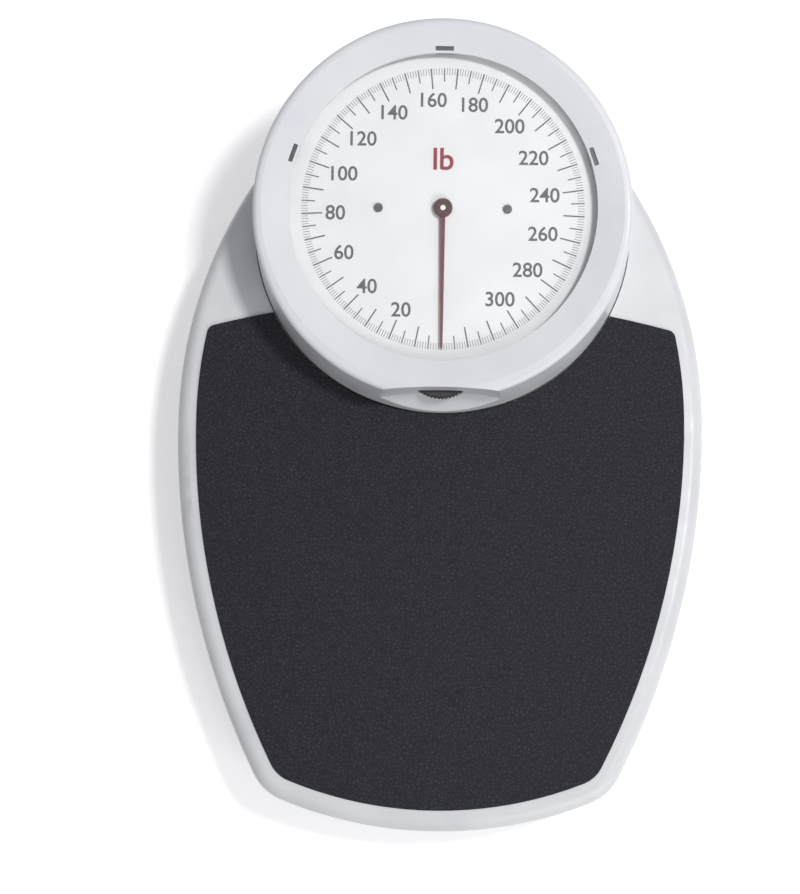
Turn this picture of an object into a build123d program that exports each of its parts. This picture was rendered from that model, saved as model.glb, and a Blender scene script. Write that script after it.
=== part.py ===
from build123d import *
from math import atan2, cos, degrees, hypot, pi, radians, sin, sqrt, tan
import os

os.makedirs("parts", exist_ok=True)

# Overall size and outline of the body, seen from above
overall_width = 322.0
overall_length = 482.0
overall_height = 117.0
widest_y = 8.0
lower_side_radius = 470.0
upper_side_radius = 285.0
front_radius = 250.0
front_corner_radius = 32.0
horn_past_head = 40.0

# Heights above the floor
foot_height = 8.0
pan_rim_top = 34.0
skirt_bottom = 20.0
platform_height = 52.0
lever_z = 34.0

# Pressed steel and rubber
sheet = 1.2
bracket_sheet = 1.5
shoulder_radius = 8.0
skirt_gap = 2.5
mat_border = 12.4
mat_recess = 0.8
mat_thickness = 2.3
mat_edge_round = 0.6
mat_arc_radius = 540.0
mat_arc_before_head = 44.0
mat_corner_radius = 5.0
mat_gap = 0.3
lip_depth = 8.0

# Dial head
face_tilt = 8.0
drum_foot_radius = 116.0
drum_draft = 3.0
drum_wall = 2.5
drum_gap = 0.6
drum_front_bottom = 44.0
drum_rear_bottom = 12.0
drum_step_past_head = 43.0
parting_depth = 7.0
rim_round = 3.0
rim_flat = 4.0
window_radius = 92.5
window_drop = 2.2
lens_depth = 4.2
lens_thickness = 2.0
lens_radius = 96.0
bezel_skin = 2.4
lip_height = 3.0
lip_thickness = 2.0
clip_radius = 95.0
clip_length = 10.4
clip_width = 2.0
clip_lip = 1.1
clip_top = 2.5
clip_angles = (90, 90 + 71, 90 - 71)
dial_radius = 95.5
dial_depth = 10.3
dial_thickness = 1.0
deck_thickness = 1.5
deck_opening = 84.0
dial_screw_x = 38.8
pointer_length = 84.0
pointer_width = 3.0
pointer_tip_width = 1.4
pointer_thickness = 0.5
pointer_depth = 7.7
cap_radius = 5.8
cap_height = 1.1

# Finger pocket and zero wheel
pocket_depth = 9.0
pocket_radius = 300.0
pocket_below_top = 48.0
pocket_fall = 13.0
pocket_wall = 2.0
wheel_radius = 22.0
wheel_thickness = 6.0
wheel_above_floor = 1.0
wheel_reach = 4.2
wheel_teeth = 60
wheel_tooth_depth = 0.6
screw_radius = 2.5

# Levers, pivots and mechanism
load_travel = 2.5
load_arm = 40.0
front_fulcrum_from_side = 25.8
front_fulcrum_from_front = 71.0
rear_fulcrum_from_side = 23.1
rear_fulcrum_from_drum = 15.9
nose_x = 30.0
crank_past_head = 30.6
nose_overhang = 22.0
lever_width = 11.0
lever_height = 10.0
transfer_before_head = 145.0
transfer_reach = 13.5
front_foot_inset = (89.0, 46.0)
rear_foot_place = (70.0, 60.0)
front_column_place = (98.0, -7.0)
rear_column_place = (60.0, 80.0)
knife_height = 4.0
knife_half_angle = 30.0
ear_gap = 10.0
short_ear_gap = 6.6
short_lever_width = 10.0
nose_bar_radius = 3.0
spring_pin_drop = 6.0
spring_pin_radius = 2.5
spring_radius = 11.0
spring_wire = 2.8
spring_turns = 4
spring_loop_radius = 6.0
zero_arm_pivot_past_levers = 12.0
pinion_teeth = 14
gear_module = 0.5
gear_thickness = 4.0
gear_depth = 21.0
shaft_radius = 1.5
crank_x = 12.0
crank_contact_inset = 1.0
frame_depth = 16.5
frame_half_width = 64.0
foot_radius = 15.0
foot_stem_radius = 3.9
rivet_radius = 1.5
rivet_head_radius = 2.7
rivet_head = 0.8
column_radius = 5.0
housing_screw_radius = 1.55
housing_screw_reach = 18.0
housing_screw_head_radius = 3.5
housing_screw_head = 2.4
dial_screw_radius = 1.5
bush_radius = 4.0
spring_peg_radius = 0.8
ear_half_width = 7.5
frame_foot = 13.0

# Clearances
seat_gap = 0.3
running_gap = 0.05
press_gap = 0.02
screw_hole_gap = 0.65

# Places worked out from the sizes above
half_width = overall_width / 2
front_y = -overall_length / 2
rear_y = overall_length / 2
head_y = rear_y - drum_foot_radius
pan_top = foot_height + sheet
draft = tan(radians(drum_draft))
slope = tan(radians(face_tilt))
rim_rear_radius = drum_foot_radius - (overall_height - platform_height) * draft
face_height = overall_height - rim_rear_radius * slope
slope_outer_radius = rim_rear_radius - rim_flat
face_normal = (0, -sin(radians(face_tilt)), cos(radians(face_tilt)))
face_plane = Plane(origin=(0, head_y, face_height), x_dir=(1, 0, 0), z_dir=face_normal)
head_axis = Axis((0, head_y, 0), (0, 0, 1))
face_axis = Axis((0, head_y, face_height), face_normal)
cutout_radius = drum_foot_radius + drum_gap
pan_inset = sheet + skirt_gap
pan_head_radius = drum_foot_radius - drum_wall - 0.5
deck_depth = dial_depth + dial_thickness
above_head = overall_height + 15
pinion_radius = gear_module * pinion_teeth / 2
rack_travel = 2 * pi * pinion_radius
lever_turn = load_travel / load_arm
horn_end_y = head_y + horn_past_head
mat_arc_top_y = head_y - mat_arc_before_head
drum_step_y = head_y + drum_step_past_head
pocket_back_y = head_y - drum_foot_radius + pocket_depth
pocket_floor = overall_height - pocket_below_top
wheel_bottom = pocket_floor + wheel_above_floor
wheel_y = pocket_back_y - wheel_reach + wheel_radius
spring_pin_z = wheel_bottom - spring_pin_drop
transfer_y = head_y - transfer_before_head
leg_y = head_y + 3
front_foot = (half_width - front_foot_inset[0], front_y + front_foot_inset[1])
rear_foot = (rear_foot_place[0], head_y + rear_foot_place[1])
front_column = (front_column_place[0], head_y + front_column_place[1])
rear_column = (rear_column_place[0], head_y + rear_column_place[1])
feet_places = [(side * x, y) for x, y in (front_foot, rear_foot) for side in (-1, 1)]
column_places = [(side * x, y) for x, y in (front_column, rear_column) for side in (-1, 1)]


def body_plan(inset):
    """The body's outline from above, drawn in by an inset and cut square at the rear."""
    with BuildSketch() as lower:
        with Locations((half_width - lower_side_radius, widest_y)):
            Circle(lower_side_radius - inset)
        with Locations((lower_side_radius - half_width, widest_y)):
            Circle(lower_side_radius - inset, mode=Mode.INTERSECT)
        with Locations((0, front_y + front_radius)):
            Circle(front_radius - inset, mode=Mode.INTERSECT)
        with Locations((0, widest_y)):
            Rectangle(overall_width, overall_length, align=(Align.CENTER, Align.MAX), mode=Mode.INTERSECT)
        fillet(lower.vertices().group_by(Axis.Y)[0], front_corner_radius - inset)
    with BuildSketch() as upper:
        with Locations((half_width - upper_side_radius, widest_y)):
            Circle(upper_side_radius - inset)
        with Locations((upper_side_radius - half_width, widest_y)):
            Circle(upper_side_radius - inset, mode=Mode.INTERSECT)
        with Locations((0, widest_y)):
            Rectangle(
                overall_width, horn_end_y - inset - widest_y,
                align=(Align.CENTER, Align.MIN), mode=Mode.INTERSECT,
            )
    with BuildSketch() as plan:
        add(lower.sketch)
        add(upper.sketch)
    return plan.sketch


def mat_plan(grow):
    """The mat's outline: the body's, drawn in by the border, under a wide arc at the head."""
    body = body_plan(mat_border - grow)
    with BuildSketch() as plan:
        add(body)
        with Locations((0, mat_arc_top_y - mat_arc_radius)):
            Circle(mat_arc_radius + grow, mode=Mode.INTERSECT)
        fillet(plan.vertices().group_by(Axis.Y)[-1], mat_corner_radius + grow)
        with Locations((0, head_y)):
            Circle(cutout_radius + mat_gap - grow, mode=Mode.SUBTRACT)
    return plan.sketch


def base_plan(inset):
    """The pan's outline: inside the skirt, with a round end inside the dial head."""
    body = body_plan(pan_inset + inset)
    with BuildSketch() as plan:
        add(body)
        with Locations((0, head_y)):
            Circle(pan_head_radius - inset)
    return plan.sketch


def domed_block(inset):
    """The platform's outer form, or the space inside its sheet."""
    plan = body_plan(inset)
    with BuildPart() as block:
        with BuildSketch(Plane.XY.offset(skirt_bottom)):
            add(plan)
        extrude(amount=platform_height - inset - skirt_bottom)
        top = block.faces().sort_by(Axis.Z)[-1]
        fillet(top.edges().filter_by(GeomType.CIRCLE), shoulder_radius - inset)
    return block.part


def drum(inset, low):
    """The dial head's drafted round form, drawn in by an inset, from a low height up."""
    foot = drum_foot_radius - inset
    tip = foot - (above_head - platform_height) * draft
    with BuildPart() as form:
        with BuildSketch(Plane(origin=(0, head_y, 0), x_dir=(1, 0, 0), z_dir=(0, -1, 0))):
            with BuildLine():
                Polyline(
                    (0, low), (foot, low), (foot, platform_height), (tip, above_head), (0, above_head),
                    close=True,
                )
            make_face()
        revolve(axis=head_axis)
    return form.part


def drum_slice(inset, deep, shallow):
    """The part of the drum's form between two depths below the tilted face."""
    whole = drum(inset, 0)
    with BuildPart() as form:
        add(whole)
        with BuildSketch(face_plane.offset(-deep)):
            Circle(overall_width)
        extrude(amount=deep - shallow, mode=Mode.INTERSECT)
    return form.part


def pocket_form(grow):
    """The finger scoop's space in front of the head: a sloping floor and a nearly flat back."""
    fall = pocket_fall / pocket_depth
    drop = grow * sqrt(1 + fall**2)
    reach = 60.0
    with BuildPart() as form:
        with BuildSketch(Plane.YZ):
            with BuildLine():
                Polyline(
                    (pocket_back_y + reach, pocket_floor - drop), (pocket_back_y, pocket_floor - drop),
                    (pocket_back_y - reach, pocket_floor - drop - reach * fall),
                    (pocket_back_y - reach, above_head + reach), (pocket_back_y + reach, above_head + reach),
                    close=True,
                )
            make_face()
        extrude(amount=pocket_radius, both=True)
        with BuildSketch(Plane.XY.offset(platform_height - reach)):
            with Locations((0, pocket_back_y - pocket_radius)):
                Circle(pocket_radius + grow)
        extrude(amount=above_head + reach, mode=Mode.INTERSECT)
    return form.part


def knife(place, apex_up, reach):
    """A triangular pivot bar along the place's X axis, with its edge on that axis."""
    height = -knife_height if apex_up else knife_height
    half = knife_height * tan(radians(knife_half_angle))
    with BuildPart() as bar:
        with BuildSketch(Plane.YZ):
            with BuildLine():
                Polyline((0, 0), (half, height), (-half, height), close=True)
            make_face()
        extrude(amount=reach, both=True)
    return place.location * bar.part


def fulcrum_bracket(place, gap):
    """A folded bracket on the pan: two ears with an upright V for a lever's knife bar."""
    low = pan_top - lever_z
    outer = gap + bracket_sheet
    top = 3.0
    notch_half_angle = 58.0
    with BuildPart() as bracket:
        with BuildSketch(Plane.YZ):
            with BuildLine():
                Polyline(
                    (-ear_half_width, low), (ear_half_width, low),
                    (ear_half_width, top), (-ear_half_width, top), close=True,
                )
            make_face()
            notch = (top + 0.1) * tan(radians(notch_half_angle))
            with BuildLine():
                Polyline((0, -0.1), (notch, top), (-notch, top), close=True)
            make_face(mode=Mode.SUBTRACT)
        extrude(amount=outer, both=True)
        Box(2 * gap, 4 * ear_half_width, 60, mode=Mode.SUBTRACT)
        with Locations((0, 0, low)):
            Box(2 * outer, 2 * ear_half_width + 8, bracket_sheet,
                align=(Align.CENTER, Align.CENTER, Align.MIN))
        with Locations((0, ear_half_width, low), (0, -ear_half_width, low)):
            Cylinder(rivet_radius + running_gap, 10, mode=Mode.SUBTRACT)
    return place.location * bracket.part


def hanger_bracket(place, gap):
    """A folded bracket under the cover: two ears with an inverted V over a knife bar."""
    top = platform_height - mat_recess - sheet - lever_z
    low = -6.0
    outer = gap + bracket_sheet
    notch_half_angle = 44.0
    with BuildPart() as bracket:
        with BuildSketch(Plane.YZ):
            with BuildLine():
                Polyline(
                    (-ear_half_width, low), (ear_half_width, low),
                    (ear_half_width, top), (-ear_half_width, top), close=True,
                )
            make_face()
            notch = (0.1 - low) * tan(radians(notch_half_angle))
            with BuildLine():
                Polyline((0, 0.1), (notch, low), (-notch, low), close=True)
            make_face(mode=Mode.SUBTRACT)
        extrude(amount=outer, both=True)
        with Locations((0, 0, top - bracket_sheet)):
            Box(
                2 * gap, 4 * ear_half_width, 60,
                align=(Align.CENTER, Align.CENTER, Align.MAX), mode=Mode.SUBTRACT,
            )
    return place.location * bracket.part


def channel(place, start, end, width):
    """A steel channel along the place's X axis, open below."""
    with BuildPart() as bar:
        with Locations((start, 0, 0)):
            Box(end - start, width, lever_height, align=(Align.MIN, Align.CENTER, Align.CENTER))
            with Locations((0, 0, -bracket_sheet)):
                Box(
                    end - start, width - 2 * bracket_sheet, lever_height,
                    align=(Align.MIN, Align.CENTER, Align.CENTER), mode=Mode.SUBTRACT,
                )
    return place.location * bar.part


def crossing(first, first_radius, second, second_radius):
    """The right-hand point, seen from above, where two circles cross."""
    across = second - first
    along = (first_radius**2 - second_radius**2 + across.length**2) / (2 * across.length)
    aside = sqrt(first_radius**2 - along**2)
    way = across.normalized()
    point = first + way * along + Vector(way.Y, -way.X) * aside
    return (point.X, point.Y)


def biarc(start, start_way, end, end_way):
    """Two arcs that meet smoothly between two points with set directions."""
    across = end - start
    ways = start_way + end_way
    bend = 1 - start_way.dot(end_way)
    reach = across.dot(ways)
    step = (sqrt(reach**2 + 2 * bend * across.dot(across)) - reach) / (2 * bend)
    leave = start + start_way * step
    arrive = end - end_way * step
    middle = (leave + arrive) / 2
    TangentArc(start, middle, tangent=start_way)
    TangentArc(middle, end, tangent=arrive - leave)


def coil_spring(place, radius, wire, turns, pitch, loop):
    """An extension spring along the place's Z axis, with a side loop at each end."""
    per_turn = 4
    steps = turns * per_turn

    def point(i):
        a = 2 * pi * i / per_turn
        return Vector(radius * cos(a), radius * sin(a), pitch * i / per_turn)

    def way(i):
        a = 2 * pi * i / per_turn
        return Vector(-sin(a), cos(a), pitch / (2 * pi * radius)).normalized()

    def loop_point(centre, out, side, turn):
        return centre - side * loop * cos(radians(turn)) + out * loop * sin(radians(turn))

    def loop_way(out, side, turn):
        return out * cos(radians(turn)) + side * sin(radians(turn))

    with BuildPart() as spring:
        with BuildLine() as path:
            out = way(0) * -1
            side = Vector(out.Z * out.X, out.Z * out.Y, out.Z * out.Z - 1).normalized()
            centre = point(0) + side * loop
            for first, last in ((300, 150), (150, 0)):
                TangentArc(
                    loop_point(centre, out, side, first), loop_point(centre, out, side, last),
                    tangent=loop_way(out, side, first) * -1,
                )
            for i in range(steps):
                biarc(point(i), way(i), point(i + 1), way(i + 1))
            out = way(steps)
            side = Vector(-out.Z * out.X, -out.Z * out.Y, 1 - out.Z * out.Z).normalized()
            centre = point(steps) + side * loop
            for first, last in ((0, 150), (150, 300)):
                TangentArc(
                    loop_point(centre, out, side, first), loop_point(centre, out, side, last),
                    tangent=loop_way(out, side, first),
                )
        with BuildSketch(Plane(origin=path.wires()[0] @ 0, z_dir=path.wires()[0] % 0)):
            Circle(wire / 2)
        sweep(path=path.wires()[0])
    print(f"spring gap between turns {pitch - wire:.2f} mm")
    print(f"spring end loop gap {2 * loop * sin(pi / 6) - wire:.2f} mm")
    return place.location * spring.part


# Front fulcrum beside the pan's side, rear fulcrum between the skirt and the dial head
front_fulcrum_y = front_y + front_fulcrum_from_front
side_reach = sqrt((lower_side_radius - front_fulcrum_from_side) ** 2 - (front_fulcrum_y - widest_y) ** 2)
front_fulcrum = (half_width - lower_side_radius + side_reach, front_fulcrum_y)
rear_fulcrum = crossing(
    Vector(half_width - upper_side_radius, widest_y), upper_side_radius - rear_fulcrum_from_side,
    Vector(0, head_y), drum_foot_radius + rear_fulcrum_from_drum,
)

# Bell crank's two arms, which turn the levers' drop into the rack's stroke
gear_low = gear_depth + gear_thickness
crank_y = head_y + crank_past_head
crank_high_arm = face_height - gear_low - lever_z - seat_gap
crank_swing = degrees(rack_travel / crank_high_arm)
arm_ratio = lever_turn / radians(crank_swing)
crank_low_arm = (crank_y - front_fulcrum_y) * arm_ratio / (1 + arm_ratio)
crank_contact_y = crank_y - crank_low_arm
lever_rear_y = crank_contact_y + crank_contact_inset
nose_y = lever_rear_y - nose_overhang
zero_arm_pivot_y = lever_rear_y + zero_arm_pivot_past_levers

# Levers' geometry seen from above
lever_vector = Vector(nose_x - front_fulcrum[0], nose_y - front_fulcrum[1], 0)
lever_direction = lever_vector.normalized()
lever_long = (lever_rear_y - front_fulcrum[1]) / lever_direction.Y


def lever_x(y):
    """The long lever's middle line at a given place along the body."""
    return front_fulcrum[0] + (y - front_fulcrum[1]) * lever_direction.X / lever_direction.Y


front_pivot = Plane(origin=(*front_fulcrum, lever_z), x_dir=(1, 0, 0), z_dir=(0, 0, 1))
front_load_y = front_fulcrum[1] + load_arm
front_load = Plane(origin=(lever_x(front_load_y), front_load_y, lever_z), x_dir=(1, 0, 0), z_dir=(0, 0, 1))
transfer = Vector(lever_x(transfer_y) + transfer_reach, transfer_y, lever_z)
short_vector = transfer - Vector(*rear_fulcrum, lever_z)
short_direction = short_vector.normalized()
short_axis = Vector(-short_direction.Y, short_direction.X, 0)
short_load_arm = short_vector.length * load_arm / (transfer_y - front_fulcrum[1])
rear_pivot = Plane(origin=(*rear_fulcrum, lever_z), x_dir=short_axis, z_dir=(0, 0, 1))
rear_load = Plane(
    origin=Vector(*rear_fulcrum, lever_z) + short_direction * short_load_arm,
    x_dir=short_axis, z_dir=(0, 0, 1),
)

# Bell crank's geometry in the upright plane along the body
crank_tip_radius = 3.0
plate_thickness = 2.0
plate_top = lever_z + lever_height / 2 + plate_thickness
half_swing = radians(crank_swing / 2)
crank_z = plate_top + seat_gap + crank_tip_radius - crank_low_arm * sin(half_swing)
crank_tip = (crank_y - crank_low_arm * cos(half_swing), crank_z + crank_low_arm * sin(half_swing))
lean = half_swing - radians(face_tilt)
crank_top = (crank_y + crank_high_arm * sin(lean), crank_z + crank_high_arm * cos(lean))
crank_top_local = face_plane.to_local_coords(Vector(0, *crank_top))

# Rivets through the pan
frame_rivets = [(side * (frame_half_width + frame_foot / 2), leg_y) for side in (-1, 1)]
zero_bracket_rivets = [(0, zero_arm_pivot_y + y) for y in (-7, 7)]
crank_bracket_rivets = [(crank_x + 1.25, crank_y + y) for y in (-12, 12)]
pedestal_rivets = [(0, wheel_y + y) for y in (-14, 14)]
ear_rivets = []
for pivot in (front_pivot, rear_pivot):
    for along in (-ear_half_width, ear_half_width):
        spot = pivot.from_local_coords(Vector(0, along, 0))
        ear_rivets += [(spot.X, spot.Y), (-spot.X, spot.Y)]
rivet_places = frame_rivets + zero_bracket_rivets + crank_bracket_rivets + pedestal_rivets + ear_rivets

# Base pan: pressed steel tray with a turned-up rim and long stiffening beads
bead_width = 16.0
bead_places = [(x, front_y + 123) for x in (-42, 0, 42)]
bead_length = 150.0
pan_outline = base_plan(0)
pan_inside = base_plan(sheet)
with BuildPart() as base_pan:
    with BuildSketch(Plane.XY.offset(foot_height)):
        add(pan_outline)
    extrude(amount=pan_rim_top - foot_height)
    with BuildSketch(Plane.XY.offset(pan_top)):
        add(pan_inside)
    extrude(amount=pan_rim_top, mode=Mode.SUBTRACT)
    with BuildSketch(Plane.XY.offset(pan_top)):
        with Locations(*bead_places):
            SlotOverall(bead_length, bead_width, rotation=90)
    extrude(amount=sheet)
    with BuildSketch(Plane.XY.offset(foot_height)):
        with Locations(*bead_places):
            SlotOverall(bead_length - 2 * sheet, bead_width - 2 * sheet, rotation=90)
    extrude(amount=sheet, mode=Mode.SUBTRACT)
    with BuildSketch(Plane.XY.offset(foot_height)):
        with Locations(*feet_places):
            Circle(foot_stem_radius + 2 * running_gap)
        with Locations(*column_places):
            Circle(housing_screw_radius + screw_hole_gap)
        with Locations(*rivet_places):
            Circle(rivet_radius + running_gap)
    extrude(amount=2 * sheet, mode=Mode.SUBTRACT)
base_pan.part.label = "base_pan"
export_step(base_pan.part, "parts/base_pan.step")

# Rubber feet: a pad under the pan, with a stem and a button head pulled through it
with BuildPart() as rubber_feet:
    with Locations(*[(x, y, 0) for x, y in feet_places]):
        Cylinder(foot_radius, foot_height, align=(Align.CENTER, Align.CENTER, Align.MIN))
        Cylinder(foot_stem_radius, pan_top, align=(Align.CENTER, Align.CENTER, Align.MIN))
        with Locations((0, 0, pan_top)):
            Cylinder(5.5, 2.5, align=(Align.CENTER, Align.CENTER, Align.MIN))
    fillet(rubber_feet.faces().group_by(Axis.Z)[0].edges(), 1.5)
rubber_feet.part.label = "rubber_feet"
export_step(rubber_feet.part, "parts/rubber_feet.step")

# Fulcrum brackets that carry the levers
front_ears = fulcrum_bracket(front_pivot, ear_gap)
rear_ears = fulcrum_bracket(rear_pivot, short_ear_gap)
with BuildPart() as front_fulcrum_right:
    add(front_ears)
front_fulcrum_right.part.label = "front_fulcrum_right"
export_step(front_fulcrum_right.part, "parts/front_fulcrum_right.step")

with BuildPart() as front_fulcrum_left:
    mirror(front_ears, about=Plane.YZ)
front_fulcrum_left.part.label = "front_fulcrum_left"
export_step(front_fulcrum_left.part, "parts/front_fulcrum_left.step")

with BuildPart() as rear_fulcrum_right:
    add(rear_ears)
rear_fulcrum_right.part.label = "rear_fulcrum_right"
export_step(rear_fulcrum_right.part, "parts/rear_fulcrum_right.step")

with BuildPart() as rear_fulcrum_left:
    mirror(rear_ears, about=Plane.YZ)
rear_fulcrum_left.part.label = "rear_fulcrum_left"
export_step(rear_fulcrum_left.part, "parts/rear_fulcrum_left.step")

# Rivets that hold the brackets to the pan
with BuildPart() as base_rivets:
    with Locations(*[(x, y, foot_height - rivet_head) for x, y in rivet_places]):
        Cylinder(rivet_radius, sheet + bracket_sheet + 2 * rivet_head,
                 align=(Align.CENTER, Align.CENTER, Align.MIN))
        Cylinder(rivet_head_radius, rivet_head, align=(Align.CENTER, Align.CENTER, Align.MIN))
        with Locations((0, 0, rivet_head + sheet + bracket_sheet)):
            Cylinder(rivet_head_radius, rivet_head, align=(Align.CENTER, Align.CENTER, Align.MIN))
base_rivets.part.label = "base_rivets"
export_step(base_rivets.part, "parts/base_rivets.step")

# Platform cover: pressed sheet with a deep skirt, a sunk bed for the mat and a lip at the head
cover_outside = domed_block(0)
cover_inside = domed_block(sheet)
skirt_inside = body_plan(sheet)
bed_outline = mat_plan(mat_gap)
bed_underside = mat_plan(mat_gap + sheet)
with BuildPart() as cover_space:
    add(cover_inside)
    with BuildSketch(Plane.XY.offset(skirt_bottom)):
        add(skirt_inside)
    extrude(amount=-foot_height)
    with BuildSketch(Plane.XY.offset(platform_height - lip_depth)):
        with Locations((0, head_y)):
            Circle(cutout_radius + sheet)
    extrude(amount=platform_height, mode=Mode.SUBTRACT)
    with BuildSketch(Plane.XY.offset(platform_height - mat_recess - sheet)):
        add(bed_underside)
    extrude(amount=platform_height, mode=Mode.SUBTRACT)
with BuildPart() as platform_cover:
    add(cover_outside)
    add(cover_space.part, mode=Mode.SUBTRACT)
    with BuildSketch(Plane.XY):
        with Locations((0, head_y)):
            Circle(cutout_radius)
    extrude(amount=above_head, mode=Mode.SUBTRACT)
    with BuildSketch(Plane.XY.offset(platform_height - mat_recess)):
        add(bed_outline)
    extrude(amount=platform_height, mode=Mode.SUBTRACT)
platform_cover.part.label = "platform_cover"
export_step(platform_cover.part, "parts/platform_cover.step")

# Rubber mat bonded into the bed
mat_outline = mat_plan(0)
with BuildPart() as foot_mat:
    with BuildSketch(Plane.XY.offset(platform_height - mat_recess)):
        add(mat_outline)
    extrude(amount=mat_thickness)
    fillet(foot_mat.faces().sort_by(Axis.Z)[-1].edges(), mat_edge_round)
foot_mat.part.label = "foot_mat"
export_step(foot_mat.part, "parts/foot_mat.step")

# Hangers welded under the cover, which sit on the levers' load bars
front_stirrup = hanger_bracket(front_load, ear_gap)
rear_stirrup = hanger_bracket(rear_load, short_ear_gap)
with BuildPart() as front_hanger_right:
    add(front_stirrup)
front_hanger_right.part.label = "front_hanger_right"
export_step(front_hanger_right.part, "parts/front_hanger_right.step")

with BuildPart() as front_hanger_left:
    mirror(front_stirrup, about=Plane.YZ)
front_hanger_left.part.label = "front_hanger_left"
export_step(front_hanger_left.part, "parts/front_hanger_left.step")

with BuildPart() as rear_hanger_right:
    add(rear_stirrup)
rear_hanger_right.part.label = "rear_hanger_right"
export_step(rear_hanger_right.part, "parts/rear_hanger_right.step")

with BuildPart() as rear_hanger_left:
    mirror(rear_stirrup, about=Plane.YZ)
rear_hanger_left.part.label = "rear_hanger_left"
export_step(rear_hanger_left.part, "parts/rear_hanger_left.step")

# Long levers from the front corners to the nose, with their knife bars
front_reach = ear_gap + 3
front_edges = [knife(front_pivot, False, front_reach), knife(front_load, True, front_reach)]
lever_place = Plane(origin=(*front_fulcrum, lever_z), x_dir=lever_direction, z_dir=(0, 0, 1))
with BuildPart() as nose_bar:
    with BuildSketch(Plane.YZ.offset(-nose_x - lever_width)):
        with Locations((nose_y, lever_z)):
            Circle(nose_bar_radius)
    extrude(amount=2 * (nose_x + lever_width))
lever_channel = channel(lever_place, -12, lever_long, lever_width)
with BuildPart() as long_lever_right:
    add(lever_channel)
    with BuildSketch(Plane.XZ.offset(-lever_rear_y)):
        with Locations((0, lever_z)):
            Rectangle(overall_width, 3 * lever_height)
    extrude(amount=-50, mode=Mode.SUBTRACT)
    add(front_edges, mode=Mode.SUBTRACT)
    with BuildSketch(Plane.YZ):
        with Locations((nose_y, lever_z)):
            Circle(nose_bar_radius + running_gap)
    extrude(amount=half_width, mode=Mode.SUBTRACT)
long_lever_right.part.label = "long_lever_right"
export_step(long_lever_right.part, "parts/long_lever_right.step")

with BuildPart() as long_lever_left:
    mirror(long_lever_right.part, about=Plane.YZ)
long_lever_left.part.label = "long_lever_left"
export_step(long_lever_left.part, "parts/long_lever_left.step")

with BuildPart() as long_lever_knives:
    add(front_edges)
    mirror(front_edges, about=Plane.YZ)
long_lever_knives.part.label = "long_lever_knives"
export_step(long_lever_knives.part, "parts/long_lever_knives.step")

nose_bar.part.label = "nose_bar"
export_step(nose_bar.part, "parts/nose_bar.step")

# Cross plate riveted on the levers' ends, which works the bell crank
with BuildPart() as nose_plate:
    with BuildSketch(Plane.XY.offset(lever_z + lever_height / 2)):
        with Locations((0, lever_rear_y)):
            Rectangle(2 * lever_x(lever_rear_y) + lever_width, 12, align=(Align.CENTER, Align.MAX))
    extrude(amount=plate_thickness)
    fillet(nose_plate.edges().filter_by(Axis.Z), 3)
nose_plate.part.label = "nose_plate"
export_step(nose_plate.part, "parts/nose_plate.step")

# Seats on the long levers that carry the short levers' tips
seat_thickness = 1.5
seat_drop = 3.0
lever_flank = lever_x(transfer_y) + lever_width / 2 / lever_direction.Y
with BuildPart() as transfer_seat:
    with BuildSketch(Plane.XY.offset(lever_z - seat_drop - seat_thickness)):
        with BuildLine():
            Polyline(
                (lever_flank - 8 * lever_direction.X / lever_direction.Y - 4, transfer_y - 8),
                (transfer.X + 7, transfer_y - 8), (transfer.X + 7, transfer_y + 8),
                (lever_flank + 8 * lever_direction.X / lever_direction.Y - 4, transfer_y + 8),
                close=True,
            )
        make_face()
    extrude(amount=seat_thickness)
    with BuildSketch(lever_place.offset(-lever_height / 2)):
        Rectangle(lever_long, lever_width, align=(Align.MIN, Align.CENTER))
    extrude(amount=lever_height, mode=Mode.SUBTRACT)
seat_outer = transfer_seat.part.solids().sort_by(Axis.X)[-1]
with BuildPart() as transfer_seats:
    add(seat_outer)
    mirror(seat_outer, about=Plane.YZ)
transfer_seats.part.label = "transfer_seats"
export_step(transfer_seats.part, "parts/transfer_seats.step")

# Short levers from the rear corners to the long levers
tongue = 16.0
tip_radius = seat_drop - seat_gap
short_place = Plane(origin=(*rear_fulcrum, lever_z), x_dir=short_direction, z_dir=(0, 0, 1))
short_reach = short_ear_gap + 2.5
rear_edges = [knife(rear_pivot, False, short_reach), knife(rear_load, True, short_reach)]
short_channel = channel(short_place, -6, short_vector.length - tongue, short_lever_width)
with BuildPart(short_place) as short_form:
    with Locations((short_vector.length - tongue - 4, 0, 0)):
        Box(tongue + 4, 6, 3, align=(Align.MIN, Align.CENTER, Align.CENTER))
    with Locations((short_vector.length - tongue - 1.5, 0, 0)):
        Box(1.5, short_lever_width, lever_height, align=(Align.MIN, Align.CENTER, Align.CENTER))
    with Locations((short_vector.length, 0, 0)):
        Sphere(tip_radius)
with BuildPart() as short_lever_right:
    add(short_channel)
    add(short_form.part)
    add(rear_edges, mode=Mode.SUBTRACT)
short_lever_right.part.label = "short_lever_right"
export_step(short_lever_right.part, "parts/short_lever_right.step")

with BuildPart() as short_lever_left:
    mirror(short_lever_right.part, about=Plane.YZ)
short_lever_left.part.label = "short_lever_left"
export_step(short_lever_left.part, "parts/short_lever_left.step")

with BuildPart() as short_knives_right:
    add(rear_edges)
short_knives_right.part.label = "short_knives_right"
export_step(short_knives_right.part, "parts/short_knives_right.step")

with BuildPart() as short_knives_left:
    mirror(rear_edges, about=Plane.YZ)
short_knives_left.part.label = "short_knives_left"
export_step(short_knives_left.part, "parts/short_knives_left.step")

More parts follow.
